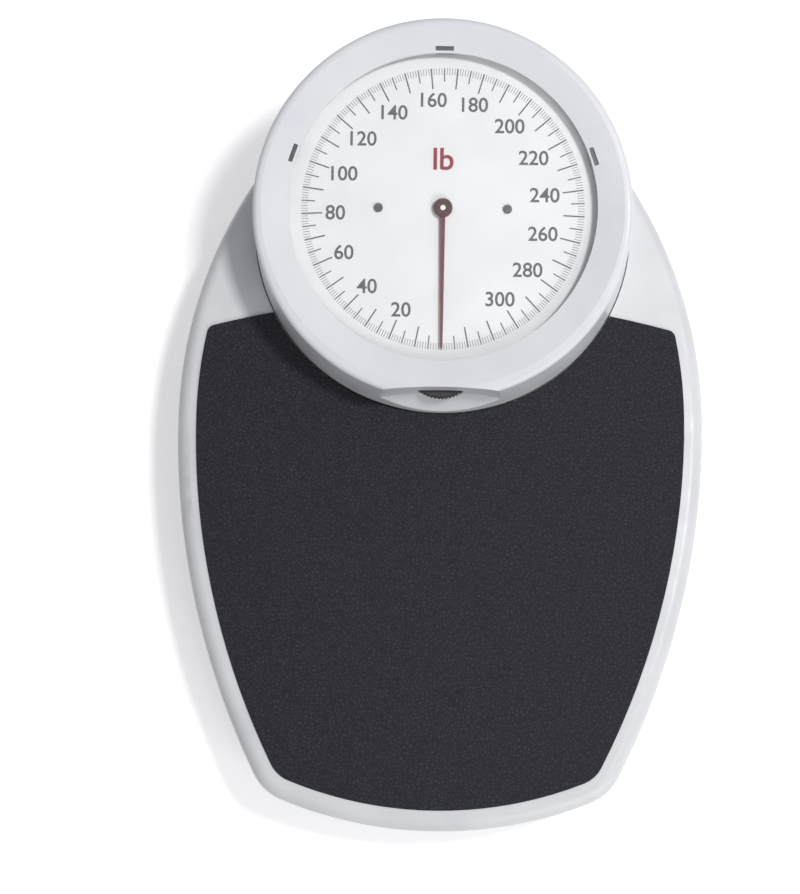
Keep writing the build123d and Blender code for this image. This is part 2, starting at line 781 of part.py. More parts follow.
# Dial head housing: the drum, its deck, four screw columns and the finger pocket
with BuildPart() as columns:
    with BuildSketch(Plane.XY.offset(pan_top)):
        with Locations(*column_places):
            Circle(column_radius)
    extrude(amount=above_head)
    split(bisect_by=face_plane.offset(-deck_depth - deck_thickness / 2), keep=Keep.BOTTOM)
pocket_space = pocket_form(0)
pocket_shell = pocket_form(pocket_wall)
drum_outside = drum_slice(0, above_head, parting_depth)
drum_inside = drum(drum_wall, 0)
deck_ring = drum_slice(drum_wall / 2, deck_depth + deck_thickness, deck_depth)
with BuildPart() as pocket_walls:
    add(drum_outside)
    add(pocket_shell, mode=Mode.INTERSECT)
with BuildPart() as head_housing:
    add(drum_outside)
    with BuildSketch(Plane.XY):
        Rectangle(2 * overall_width, 2 * overall_length)
    extrude(amount=drum_rear_bottom, mode=Mode.SUBTRACT)
    add(drum_inside, mode=Mode.SUBTRACT)
    with BuildSketch(Plane.XY):
        with Locations((0, drum_step_y)):
            Rectangle(overall_width, overall_length, align=(Align.CENTER, Align.MAX))
    extrude(amount=drum_front_bottom, mode=Mode.SUBTRACT)
    add(deck_ring)
    with BuildSketch(face_plane.offset(-deck_depth)):
        Circle(deck_opening)
    extrude(amount=deck_thickness, both=True, mode=Mode.SUBTRACT)
    with BuildSketch(Plane.XY.offset(pocket_floor)):
        with Locations((0, wheel_y)):
            Circle(wheel_radius + 2)
    extrude(amount=above_head, mode=Mode.SUBTRACT)
    add(pocket_walls.part)
    add(columns.part)
    add(pocket_space, mode=Mode.SUBTRACT)
    with BuildSketch(Plane.XY.offset(wheel_bottom - seat_gap)):
        with Locations((0, wheel_y)):
            Circle(wheel_radius + 0.5)
    extrude(amount=wheel_thickness + 2 * seat_gap, mode=Mode.SUBTRACT)
    with BuildSketch(Plane.XY.offset(pan_top)):
        with Locations(*column_places):
            Circle(housing_screw_radius + running_gap)
    extrude(amount=housing_screw_reach + 4, mode=Mode.SUBTRACT)
head_housing.part.label = "head_housing"
export_step(head_housing.part, "parts/head_housing.step")

# Screws through the pan into the housing's columns
with BuildPart() as housing_screws:
    with Locations(*[(x, y, foot_height) for x, y in column_places]):
        Cylinder(housing_screw_radius, sheet + housing_screw_reach,
                 align=(Align.CENTER, Align.CENTER, Align.MIN))
        Cylinder(housing_screw_head_radius, housing_screw_head,
                 align=(Align.CENTER, Align.CENTER, Align.MAX))
        with Locations((0, 0, -housing_screw_head)):
            Box(5, 0.9, 1.8, mode=Mode.SUBTRACT)
            Box(0.9, 5, 1.8, mode=Mode.SUBTRACT)
housing_screws.part.label = "housing_screws"
export_step(housing_screws.part, "parts/housing_screws.step")

# Bezel ring: closes the drum's top, frames the window and has three slots for its clips
bezel_disc = drum_slice(0, parting_depth, 0)
bezel_core = drum_slice(drum_wall + 4 * running_gap + lip_thickness / 2, parting_depth + 1, bezel_skin + 0.3)
bezel_lip_disc = drum_slice(drum_wall + 4 * running_gap, parting_depth + lip_height, parting_depth - 1)
bezel_lip_core = drum(drum_wall + lip_thickness + 4 * running_gap, 0)
bezel_wall_disc = drum_slice(0.5, parting_depth, bezel_skin)
lip_clearance = pocket_form(pocket_wall + seat_gap)
with BuildPart() as bezel_form:
    add(bezel_disc)
    fillet(bezel_form.faces().sort_by(Axis.Z)[-1].edges(), rim_round)
    with BuildSketch(Plane(origin=face_plane.origin, x_dir=(1, 0, 0), z_dir=-face_plane.y_dir)):
        with BuildLine():
            Polyline(
                (0, 1), (slope_outer_radius, 1), (slope_outer_radius, 0), (window_radius, -window_drop),
                (window_radius, -lens_depth), (lens_radius + seat_gap, -lens_depth),
                (lens_radius + seat_gap, -parting_depth - 1), (0, -parting_depth - 1),
                close=True,
            )
        make_face()
    revolve(axis=face_axis, mode=Mode.SUBTRACT)
with BuildPart() as bezel_hollow:
    add(bezel_core)
    with BuildSketch(face_plane.offset(-parting_depth - 1)):
        Circle(lens_radius + 3)
    extrude(amount=parting_depth, mode=Mode.SUBTRACT)
with BuildPart() as bezel_lip:
    add(bezel_lip_disc)
    add(bezel_lip_core, mode=Mode.SUBTRACT)
    add(lip_clearance, mode=Mode.SUBTRACT)
with BuildPart() as bezel_pocket_wall:
    add(pocket_shell)
    add(bezel_wall_disc, mode=Mode.INTERSECT)
with BuildPart() as bezel_ring:
    add(bezel_form.part)
    add(bezel_hollow.part, mode=Mode.SUBTRACT)
    add(bezel_lip.part)
    add(bezel_pocket_wall.part)
    add(pocket_space, mode=Mode.SUBTRACT)
    with BuildSketch(face_plane.offset(-parting_depth)):
        for angle in clip_angles:
            with PolarLocations(clip_radius, 1, start_angle=angle):
                Rectangle(clip_width + 2 * seat_gap, clip_length + 2 * seat_gap)
    extrude(amount=parting_depth + 1, mode=Mode.SUBTRACT)
bezel_ring.part.label = "bezel_ring"
export_step(bezel_ring.part, "parts/bezel_ring.step")

# Clear window, notched where the clips pass
with BuildPart() as dial_window:
    with BuildSketch(face_plane.offset(-lens_depth - lens_thickness)):
        Circle(lens_radius)
        for angle in clip_angles:
            with PolarLocations(clip_radius, 1, start_angle=angle):
                Rectangle(clip_width + 2 * seat_gap, clip_length + 2 * seat_gap, mode=Mode.SUBTRACT)
    extrude(amount=lens_thickness)
dial_window.part.label = "dial_window"
export_step(dial_window.part, "parts/dial_window.step")

# Three dark clips in the bezel's slots that grip the window from below
clip_bottom = lens_depth + lens_thickness + seat_gap + clip_lip
with BuildPart() as window_clips:
    with BuildSketch(face_plane.offset(-clip_bottom)):
        for angle in clip_angles:
            with PolarLocations(clip_radius, 1, start_angle=angle):
                Rectangle(clip_width, clip_length)
    extrude(amount=clip_bottom - clip_top)
    with BuildSketch(face_plane.offset(-clip_bottom)):
        for angle in clip_angles:
            with PolarLocations(clip_radius - clip_lip, 1, start_angle=angle):
                Rectangle(clip_width, clip_length)
    extrude(amount=clip_lip)
window_clips.part.label = "window_clips"
export_step(window_clips.part, "parts/window_clips.step")

# Dial plate, its two screws and the posts that it stands on
with BuildPart() as dial_plate:
    with BuildSketch(face_plane.offset(-deck_depth)):
        Circle(dial_radius)
        Circle(shaft_radius + 1, mode=Mode.SUBTRACT)
        with Locations((dial_screw_x, 0), (-dial_screw_x, 0)):
            Circle(dial_screw_radius + 4 * running_gap, mode=Mode.SUBTRACT)
    extrude(amount=dial_thickness)
dial_plate.part.label = "dial_plate"
export_step(dial_plate.part, "parts/dial_plate.step")

with BuildPart(face_plane.offset(-dial_depth)) as dial_screws:
    with Locations((dial_screw_x, 0), (-dial_screw_x, 0)):
        Cylinder(dial_screw_radius, frame_depth - dial_depth - 0.5,
                 align=(Align.CENTER, Align.CENTER, Align.MAX))
        Cylinder(2.7, 1.1, align=(Align.CENTER, Align.CENTER, Align.MIN))
        with Locations((0, 0, 0.5)):
            Box(6, 0.7, 1.0, rotation=(0, 0, 25), align=(Align.CENTER, Align.CENTER, Align.MIN),
                mode=Mode.SUBTRACT)
dial_screws.part.label = "dial_screws"
export_step(dial_screws.part, "parts/dial_screws.step")

with BuildPart(face_plane.offset(-frame_depth)) as dial_posts:
    with Locations((dial_screw_x, 0), (-dial_screw_x, 0)):
        Cylinder(3.5, frame_depth - deck_depth, align=(Align.CENTER, Align.CENTER, Align.MIN))
        Cylinder(dial_screw_radius + running_gap, frame_depth - deck_depth,
                 align=(Align.CENTER, Align.CENTER, Align.MIN), mode=Mode.SUBTRACT)
dial_posts.part.label = "dial_posts"
export_step(dial_posts.part, "parts/dial_posts.step")

# Mechanism frame: a folded bridge that stands on the pan under the dial
frame_low = frame_depth + bracket_sheet
leg_width = 28.0
spring_anchor = (8.0, -50.0)
with BuildPart() as mechanism_frame:
    with BuildSketch(Plane.XY.offset(pan_top)):
        for side in (-1, 1):
            with Locations((side * (frame_half_width - bracket_sheet / 2), leg_y)):
                Rectangle(bracket_sheet, leg_width)
    extrude(amount=above_head)
    split(bisect_by=face_plane.offset(-frame_depth - bracket_sheet / 2), keep=Keep.BOTTOM)
    with BuildSketch(Plane.XY.offset(pan_top)):
        for side in (-1, 1):
            with Locations((side * (frame_half_width + (frame_foot - bracket_sheet) / 2), leg_y)):
                Rectangle(frame_foot + bracket_sheet, leg_width)
    extrude(amount=bracket_sheet)
    with BuildSketch(face_plane.offset(-frame_low)):
        with Locations((0, 6)):
            Rectangle(2 * frame_half_width, 44)
        with Locations((spring_anchor[0], spring_anchor[1] - 4)):
            Rectangle(12, 50, align=(Align.CENTER, Align.MIN))
    extrude(amount=bracket_sheet)
    with BuildSketch(face_plane.offset(-frame_low)):
        Circle(bush_radius + running_gap)
    extrude(amount=bracket_sheet, mode=Mode.SUBTRACT)
    with BuildSketch(Plane.XY.offset(pan_top)):
        with Locations(*frame_rivets):
            Circle(rivet_radius + running_gap)
    extrude(amount=bracket_sheet, mode=Mode.SUBTRACT)
    with BuildSketch(face_plane.offset(-frame_low)):
        with Locations(spring_anchor):
            Circle(spring_peg_radius)
    extrude(amount=-7)
mechanism_frame.part.label = "mechanism_frame"
export_step(mechanism_frame.part, "parts/mechanism_frame.step")

# Brass bush and the lower bracket that carry the pinion shaft
with BuildPart(face_plane.offset(-frame_low - 0.6)) as upper_bearing:
    Cylinder(bush_radius, bracket_sheet + 1.2, align=(Align.CENTER, Align.CENTER, Align.MIN))
    Cylinder(shaft_radius + running_gap, 4, align=(Align.CENTER, Align.CENTER, Align.MIN),
             mode=Mode.SUBTRACT)
upper_bearing.part.label = "upper_bearing"
export_step(upper_bearing.part, "parts/upper_bearing.step")

lower_bearing_depth = gear_low + 3.5
with BuildPart(face_plane) as lower_bearing_bracket:
    with Locations((-16, 0, -lower_bearing_depth)):
        Box(19, 10, bracket_sheet, align=(Align.MIN, Align.CENTER, Align.MIN))
        Box(bracket_sheet, 10, lower_bearing_depth - frame_low, align=(Align.MIN, Align.CENTER, Align.MIN))
    with Locations((-16, 0, -frame_low - bracket_sheet)):
        Box(9, 10, bracket_sheet, align=(Align.MIN, Align.CENTER, Align.MIN))
    with Locations((0, 0, -lower_bearing_depth)):
        Cylinder(shaft_radius + running_gap, 3 * bracket_sheet, mode=Mode.SUBTRACT)
lower_bearing_bracket.part.label = "lower_bearing_bracket"
export_step(lower_bearing_bracket.part, "parts/lower_bearing_bracket.step")

# Pinion with involute flanks on a steel shaft
tooth_thinning = 0.12
base_radius = pinion_radius * cos(radians(20))
tip_circle = pinion_radius + 0.8 * gear_module
root_circle = pinion_radius - 1.15 * gear_module


def involute_angle(radius):
    """How far the flank has turned, in radians, where the involute reaches a radius."""
    unwound = sqrt(max(radius**2 / base_radius**2 - 1, 0))
    return unwound - atan2(unwound, 1)


half_tooth = pi / (2 * pinion_teeth) - tooth_thinning / (2 * pinion_radius) + involute_angle(pinion_radius)


def flank_point(radius, side, turn):
    """A point on one flank of the tooth that points in the given direction."""
    a = turn + side * (half_tooth - involute_angle(radius))
    return (radius * cos(a), radius * sin(a))


flank_radii = [base_radius + (tip_circle - base_radius) * i / 3 for i in range(4)]
with BuildPart() as pinion:
    with BuildSketch(face_plane.offset(-gear_low)):
        Circle(root_circle)
        for tooth in range(pinion_teeth):
            turn = 2 * pi * (tooth + 0.5) / pinion_teeth
            inner = (root_circle - 0.3)
            with BuildLine():
                Polyline(
                    (inner * cos(turn - half_tooth), inner * sin(turn - half_tooth)),
                    *[flank_point(r, -1, turn) for r in flank_radii],
                    *[flank_point(r, 1, turn) for r in reversed(flank_radii)],
                    (inner * cos(turn + half_tooth), inner * sin(turn + half_tooth)),
                    close=True,
                )
            make_face()
        Circle(shaft_radius + press_gap, mode=Mode.SUBTRACT)
    extrude(amount=gear_thickness)
pinion.part.label = "pinion"
export_step(pinion.part, "parts/pinion.step")

with BuildPart(face_plane.offset(-lower_bearing_depth - 1)) as pinion_shaft:
    Cylinder(shaft_radius, lower_bearing_depth + 1 - pointer_depth + cap_height,
             align=(Align.CENTER, Align.CENTER, Align.MIN))
pinion_shaft.part.label = "pinion_shaft"
export_step(pinion_shaft.part, "parts/pinion_shaft.step")

# Rack: straight teeth beside the pinion and a forked tab for the bell crank's pin
rack_back = pinion_radius + 5.0
rack_front = -6.0
rack_rear = crank_top_local.Y + 6
tooth_pitch = pi * gear_module
rack_tip = pinion_radius - 0.8 * gear_module
rack_root = pinion_radius + 1.1 * gear_module
rack_half_tooth = tooth_pitch / 4 - tooth_thinning / 2
flank = tan(radians(20))
tab_inner = crank_x - 2.3
tab_thickness = 1.8
tab_width = 11.0
tab_bridge = 1.6
tab_drop = -crank_top_local.Z - gear_low + 7
crank_pin_radius = 1.5
rack_teeth = int((rack_travel + 8) / tooth_pitch)
with BuildPart(face_plane.offset(-gear_low)) as rack:
    with BuildSketch(face_plane.offset(-gear_low)):
        with Locations((rack_root, rack_front)):
            Rectangle(rack_back - rack_root, rack_rear - rack_front, align=(Align.MIN, Align.MIN))
        for i in range(rack_teeth):
            mid = (i - 2) * tooth_pitch
            tip_half = rack_half_tooth - (pinion_radius - rack_tip) * flank
            root_half = rack_half_tooth + (rack_root - pinion_radius) * flank
            with BuildLine():
                Polyline(
                    (rack_root + 0.1, mid - root_half), (rack_root, mid - root_half),
                    (rack_tip, mid - tip_half), (rack_tip, mid + tip_half),
                    (rack_root, mid + root_half), (rack_root + 0.1, mid + root_half),
                    close=True,
                )
            make_face()
    extrude(amount=gear_thickness)
    with BuildSketch(face_plane.offset(-gear_low)):
        with Locations((rack_back, crank_top_local.Y)):
            Rectangle(tab_inner + tab_thickness - rack_back, tab_width, align=(Align.MIN, Align.CENTER))
        with Locations((spring_anchor[0], rack_front)):
            Rectangle(3, 8, align=(Align.CENTER, Align.MAX))
    extrude(amount=1.0)
    with Locations((tab_inner, crank_top_local.Y, 1.0)):
        Box(tab_thickness, tab_width, tab_drop, align=(Align.MIN, Align.CENTER, Align.MAX))
    with Locations((tab_inner, crank_top_local.Y, 1.0 - tab_bridge)):
        Box(tab_thickness, 2 * crank_pin_radius + 0.8, tab_drop, align=(Align.MIN, Align.CENTER, Align.MAX),
            mode=Mode.SUBTRACT)
    with Locations((spring_anchor[0], rack_front - 6, 0)):
        Cylinder(spring_peg_radius, 4, align=(Align.CENTER, Align.CENTER, Align.MIN))
rack.part.label = "rack"
export_step(rack.part, "parts/rack.step")

# Guide that keeps the rack in mesh
guide_front = rack_front + 2 * seat_gap
guide_rear = crank_top_local.Y - tab_width / 2 - rack_travel - 2 * seat_gap
guide_length = guide_rear - guide_front
with BuildPart(face_plane.offset(-frame_low)) as rack_guide:
    with Locations((rack_back + 0.25, guide_front, 0)):
        Box(3.5, guide_length, gear_low - frame_low + 2, align=(Align.MIN, Align.MIN, Align.MAX))
    with Locations((rack_back - 2.5, guide_front, frame_low - gear_low - 0.3)):
        Box(6.25, guide_length, 1.7, align=(Align.MIN, Align.MIN, Align.MAX))
rack_guide.part.label = "rack_guide"
export_step(rack_guide.part, "parts/rack_guide.step")

# Pointer and its cap on the pinion shaft's upper end
with BuildPart() as pointer:
    with BuildSketch(face_plane.offset(-pointer_depth - pointer_thickness)):
        with BuildLine():
            Polyline(
                (-pointer_width / 2, 0), (pointer_width / 2, 0),
                (pointer_tip_width / 2, -pointer_length), (-pointer_tip_width / 2, -pointer_length),
                close=True,
            )
        make_face()
        Circle(cap_radius - 1)
        Circle(shaft_radius + press_gap, mode=Mode.SUBTRACT)
    extrude(amount=pointer_thickness)
pointer.part.label = "pointer"
export_step(pointer.part, "parts/pointer.step")

with BuildPart(face_plane.offset(-pointer_depth)) as pointer_cap:
    Cylinder(cap_radius, cap_height, align=(Align.CENTER, Align.CENTER, Align.MIN))
    fillet(pointer_cap.faces().sort_by(Axis.Z)[-1].edges(), cap_height - 0.2)
    Cylinder(shaft_radius + press_gap, cap_height, align=(Align.CENTER, Align.CENTER, Align.MIN),
             mode=Mode.SUBTRACT)
pointer_cap.part.label = "pointer_cap"
export_step(pointer_cap.part, "parts/pointer_cap.step")

# Bell crank, its bracket and pivot pin
crank_thickness = 2.5
crank_pivot_radius = 2.0
with BuildPart() as bell_crank:
    with BuildSketch(Plane.YZ.offset(crank_x)):
        for end, width in ((crank_tip, 2 * crank_tip_radius), (crank_top, 7.0)):
            reach = (end[0] - crank_y, end[1] - crank_z)
            with Locations((crank_y + reach[0] / 2, crank_z + reach[1] / 2)):
                SlotCenterToCenter(hypot(*reach), width, rotation=degrees(atan2(reach[1], reach[0])))
        with Locations((crank_y, crank_z)):
            Circle(6.0)
            Circle(crank_pivot_radius + running_gap, mode=Mode.SUBTRACT)
    extrude(amount=crank_thickness)
    with BuildSketch(Plane.YZ.offset(crank_x)):
        with Locations(crank_top):
            Circle(crank_pin_radius)
    extrude(amount=tab_inner - 0.5 - crank_x)
bell_crank.part.label = "bell_crank"
export_step(bell_crank.part, "parts/bell_crank.step")

crank_ear_gap = 0.4
crank_ear_low = crank_x - crank_ear_gap - bracket_sheet
crank_ear_span = crank_thickness + 2 * crank_ear_gap + 2 * bracket_sheet
with BuildPart() as crank_bracket:
    with BuildSketch(Plane.YZ.offset(crank_ear_low)):
        with Locations((crank_y, pan_top)):
            Rectangle(12, crank_z - pan_top, align=(Align.CENTER, Align.MIN))
        with Locations((crank_y, crank_z)):
            Circle(6.0)
            Circle(crank_pivot_radius + running_gap, mode=Mode.SUBTRACT)
    extrude(amount=crank_ear_span)
    with Locations((crank_x + crank_thickness / 2, crank_y, pan_top + 4)):
        Box(crank_thickness + 2 * crank_ear_gap, 40, 60,
            align=(Align.CENTER, Align.CENTER, Align.MIN), mode=Mode.SUBTRACT)
    with Locations((crank_x + crank_thickness / 2, crank_y, pan_top)):
        Box(crank_ear_span, 34, bracket_sheet, align=(Align.CENTER, Align.CENTER, Align.MIN))
    with Locations(*[(x, y, pan_top) for x, y in crank_bracket_rivets]):
        Cylinder(rivet_radius + running_gap, 4, mode=Mode.SUBTRACT)
crank_bracket.part.label = "crank_bracket"
export_step(crank_bracket.part, "parts/crank_bracket.step")

with BuildPart() as crank_pin:
    with BuildSketch(Plane.YZ.offset(crank_ear_low - 1)):
        with Locations((crank_y, crank_z)):
            Circle(crank_pivot_radius)
    extrude(amount=crank_ear_span + 2)
crank_pin.part.label = "crank_pin"
export_step(crank_pin.part, "parts/crank_pin.step")

# Zero arm: carries the main spring between its pivot and the zero nut
arm_half = 5.0
arm_low = spring_pin_z - 4.5
arm_high = spring_pin_z + 3.5
arm_pin_radius = 2.0
with BuildPart() as zero_arm:
    with BuildSketch(Plane.YZ):
        with BuildLine():
            Polyline(
                (wheel_y - 8, arm_low), (zero_arm_pivot_y + 4, arm_low),
                (zero_arm_pivot_y + 4, arm_high), (wheel_y - 8, arm_high), close=True,
            )
        make_face()
        with Locations((nose_y, spring_pin_z)):
            Circle(spring_pin_radius + running_gap, mode=Mode.SUBTRACT)
        with Locations((zero_arm_pivot_y, spring_pin_z)):
            Circle(arm_pin_radius + running_gap, mode=Mode.SUBTRACT)
    extrude(amount=arm_half, both=True)
    with BuildSketch(Plane.XY.offset(arm_high - bracket_sheet)):
        with Locations((0, head_y)):
            Rectangle(2 * (arm_half - bracket_sheet), overall_length)
    extrude(amount=-20, mode=Mode.SUBTRACT)
    with BuildSketch(Plane.XY.offset(arm_low)):
        with Locations((0, wheel_y)):
            Circle(screw_radius + 1)
        with Locations((0, nose_y)):
            Rectangle(2 * (arm_half - bracket_sheet), 20)
    extrude(amount=20, mode=Mode.SUBTRACT)
zero_arm.part.label = "zero_arm"
export_step(zero_arm.part, "parts/zero_arm.step")

with BuildPart() as spring_pin:
    with BuildSketch(Plane.YZ.offset(-arm_half - 1)):
        with Locations((nose_y, spring_pin_z)):
            Circle(spring_pin_radius)
    extrude(amount=2 * arm_half + 2)
spring_pin.part.label = "spring_pin"
export_step(spring_pin.part, "parts/spring_pin.step")

ear_inner = arm_half + 0.5
with BuildPart() as zero_arm_bracket:
    with BuildSketch(Plane.YZ):
        with Locations((zero_arm_pivot_y, pan_top)):
            Rectangle(9, spring_pin_z - pan_top, align=(Align.CENTER, Align.MIN))
        with Locations((zero_arm_pivot_y, spring_pin_z)):
            Circle(4.5)
            Circle(arm_pin_radius + running_gap, mode=Mode.SUBTRACT)
    extrude(amount=ear_inner + bracket_sheet, both=True)
    with Locations((0, zero_arm_pivot_y, pan_top)):
        Box(2 * ear_inner, 40, 120, align=(Align.CENTER, Align.CENTER, Align.MIN), mode=Mode.SUBTRACT)
        Box(2 * (ear_inner + bracket_sheet), 22, bracket_sheet,
            align=(Align.CENTER, Align.CENTER, Align.MIN))
    with Locations(*[(x, y, pan_top) for x, y in zero_bracket_rivets]):
        Cylinder(rivet_radius + running_gap, 4, mode=Mode.SUBTRACT)
zero_arm_bracket.part.label = "zero_arm_bracket"
export_step(zero_arm_bracket.part, "parts/zero_arm_bracket.step")

with BuildPart() as zero_arm_pin:
    with BuildSketch(Plane.YZ.offset(-ear_inner - bracket_sheet - 1)):
        with Locations((zero_arm_pivot_y, spring_pin_z)):
            Circle(arm_pin_radius)
    extrude(amount=2 * (ear_inner + bracket_sheet + 1))
zero_arm_pin.part.label = "zero_arm_pin"
export_step(zero_arm_pin.part, "parts/zero_arm_pin.step")

# Zero wheel on its screw, the nut under the arm and the pedestal that takes the thrust
pedestal_top = 50.0
nut_top = arm_low - seat_gap
nut_height = 6.0
with BuildPart() as zero_wheel:
    with BuildSketch(Plane.XY.offset(wheel_bottom)):
        with Locations((0, wheel_y)):
            Circle(wheel_radius)
            with PolarLocations(wheel_radius, wheel_teeth):
                Rectangle(2 * wheel_tooth_depth, 1.0, mode=Mode.SUBTRACT)
            Circle(screw_radius + press_gap, mode=Mode.SUBTRACT)
    extrude(amount=wheel_thickness)
zero_wheel.part.label = "zero_wheel"
export_step(zero_wheel.part, "parts/zero_wheel.step")

with BuildPart() as zero_screw:
    with Locations((0, wheel_y, pedestal_top - 5)):
        Cylinder(screw_radius, wheel_bottom + wheel_thickness - pedestal_top + 5,
                 align=(Align.CENTER, Align.CENTER, Align.MIN))
    with Locations((0, wheel_y, pedestal_top)):
        Cylinder(4.0, 1.5, align=(Align.CENTER, Align.CENTER, Align.MIN))
zero_screw.part.label = "zero_screw"
export_step(zero_screw.part, "parts/zero_screw.step")

with BuildPart() as zero_nut:
    with Locations((0, wheel_y, nut_top)):
        Box(14, 14, nut_height, align=(Align.CENTER, Align.CENTER, Align.MAX))
        Cylinder(screw_radius + running_gap, 3 * nut_height, mode=Mode.SUBTRACT)
    fillet(zero_nut.edges().filter_by(Axis.Z).group_by(SortBy.DISTANCE)[-1], 1.5)
zero_nut.part.label = "zero_nut"
export_step(zero_nut.part, "parts/zero_nut.step")

leg_inside = 9.0
leg_outside = leg_inside + bracket_sheet
foot_end = leg_outside + 8.5
foot_top = pan_top + bracket_sheet
with BuildPart() as zero_pedestal:
    with BuildSketch(Plane.YZ):
        with BuildLine():
            Polyline(
                (wheel_y - foot_end, pan_top), (wheel_y - leg_inside, pan_top),
                (wheel_y - leg_inside, pedestal_top - bracket_sheet),
                (wheel_y + leg_inside, pedestal_top - bracket_sheet),
                (wheel_y + leg_inside, pan_top), (wheel_y + foot_end, pan_top),
                (wheel_y + foot_end, foot_top), (wheel_y + leg_outside, foot_top),
                (wheel_y + leg_outside, pedestal_top), (wheel_y - leg_outside, pedestal_top),
                (wheel_y - leg_outside, foot_top), (wheel_y - foot_end, foot_top),
                close=True,
            )
        make_face()
    extrude(amount=8, both=True)
    with Locations((0, wheel_y, pedestal_top)):
        Cylinder(screw_radius + running_gap, 8, mode=Mode.SUBTRACT)
    with Locations(*[(x, y, pan_top) for x, y in pedestal_rivets]):
        Cylinder(rivet_radius + running_gap, 8, mode=Mode.SUBTRACT)
zero_pedestal.part.label = "zero_pedestal"
export_step(zero_pedestal.part, "parts/zero_pedestal.step")

# Main spring between the nose bar and the zero arm
loop_inner = spring_loop_radius - spring_wire / 2
low_loop_z = lever_z - nose_bar_radius - seat_gap + loop_inner
high_loop_z = spring_pin_z + spring_pin_radius + seat_gap - loop_inner
coil_low = low_loop_z + spring_loop_radius
coil_high = high_loop_z - spring_loop_radius
main_spring = coil_spring(
    Plane(origin=(-spring_radius, nose_y, coil_low), x_dir=(1, 0, 0), z_dir=(0, 0, 1)),
    spring_radius, spring_wire, spring_turns, (coil_high - coil_low) / spring_turns, spring_loop_radius,
)
main_spring.label = "main_spring"
export_step(main_spring, "parts/main_spring.step")

# Small spring that pulls the rack towards the front
rack_spring_radius = 2.3
rack_spring_wire = 0.6
rack_spring_loop = 1.7
rack_spring_turns = 16
loop_seat = rack_spring_loop - rack_spring_wire / 2 - spring_peg_radius - 0.2
rack_coil_low = spring_anchor[1] + loop_seat + rack_spring_loop
rack_coil_high = rack_front - 6 - loop_seat - rack_spring_loop
rack_spring_depth = gear_low - 2.6
rack_spring_origin = face_plane.from_local_coords(
    Vector(spring_anchor[0], rack_coil_low, -rack_spring_depth - rack_spring_radius)
)
rack_spring = coil_spring(
    Plane(origin=rack_spring_origin, x_dir=face_normal, z_dir=face_plane.y_dir),
    rack_spring_radius, rack_spring_wire, rack_spring_turns,
    (rack_coil_high - rack_coil_low) / rack_spring_turns, rack_spring_loop,
)
rack_spring.label = "rack_spring"
export_step(rack_spring, "parts/rack_spring.step")

print(f"face centre height {face_height:.2f}, head centre y {head_y:.2f}")
print(f"crank pivot y {crank_y:.3f} z {crank_z:.3f}, swing {crank_swing:.4f}")
print(f"short load arm {short_load_arm:.4f}, nose y {nose_y:.3f}, lever end y {lever_rear_y:.3f}")
print(f"front fulcrum {front_fulcrum[0]:.3f} {front_fulcrum[1]:.3f}")
print(f"rear fulcrum {rear_fulcrum[0]:.3f} {rear_fulcrum[1]:.3f}, zero arm pivot y {zero_arm_pivot_y:.3f}")
print(f"short axis {short_axis.X:.6f} {short_axis.Y:.6f}, lever turn {lever_turn:.5f}")
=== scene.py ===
from math import cos, pi, radians, sin, sqrt

import bmesh
import bpy
from mathutils import Matrix, Vector


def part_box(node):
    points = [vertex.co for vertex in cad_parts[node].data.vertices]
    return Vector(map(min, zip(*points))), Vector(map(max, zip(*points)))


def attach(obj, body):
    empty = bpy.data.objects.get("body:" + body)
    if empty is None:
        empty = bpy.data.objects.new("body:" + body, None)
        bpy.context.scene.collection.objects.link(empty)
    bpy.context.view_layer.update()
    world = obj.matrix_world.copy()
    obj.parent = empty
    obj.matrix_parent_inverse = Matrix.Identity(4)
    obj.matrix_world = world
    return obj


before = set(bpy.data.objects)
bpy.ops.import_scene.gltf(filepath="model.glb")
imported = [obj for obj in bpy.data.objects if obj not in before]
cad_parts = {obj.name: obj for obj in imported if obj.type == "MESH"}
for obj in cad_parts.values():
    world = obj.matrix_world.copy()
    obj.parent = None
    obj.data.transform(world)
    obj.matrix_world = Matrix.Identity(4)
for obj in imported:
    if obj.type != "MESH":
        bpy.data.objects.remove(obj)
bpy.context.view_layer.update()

# The base pan is a tray pressed from thin sheet and enamelled white like the platform.
# It carries every bracket, and only its rim shows under the platform's skirt.


def screen_colour(red, green, blue):
    """Turn a colour read off a screen into the light values that a shader takes."""
    out = []
    for value in (red, green, blue):
        v = value / 255
        out.append(v / 12.92 if v < 0.04045 else ((v + 0.055) / 1.055) ** 2.4)
    return (*out, 1.0)


def plain_finish(name, roughness, metallic=0.0, shine=0.5):
    """A new material with its shader and the object's own coordinates."""
    material = bpy.data.materials.new(name)
    material.use_nodes = True
    nodes = material.node_tree.nodes
    shader = nodes["Principled BSDF"]
    shader.inputs["Roughness"].default_value = roughness
    shader.inputs["Metallic"].default_value = metallic
    shader.inputs["Specular IOR Level"].default_value = shine
    place = nodes.new("ShaderNodeTexCoord")
    return material, shader, place.outputs["Object"]


def speckle(material, place, cells_per_metre, detail=3.0, stretch=(1, 1, 1)):
    """A cloudy pattern at a set scale, drawn out along an axis if asked."""
    nodes, links = material.node_tree.nodes, material.node_tree.links
    frame_of = nodes.new("ShaderNodeMapping")
    frame_of.inputs["Scale"].default_value = stretch
    links.new(place, frame_of.inputs["Vector"])
    cloud = nodes.new("ShaderNodeTexNoise")
    cloud.inputs["Scale"].default_value = cells_per_metre
    cloud.inputs["Detail"].default_value = detail
    links.new(frame_of.outputs["Vector"], cloud.inputs["Vector"])
    return cloud.outputs["Fac"]


cloud_thin, cloud_thick = 0.35, 0.65


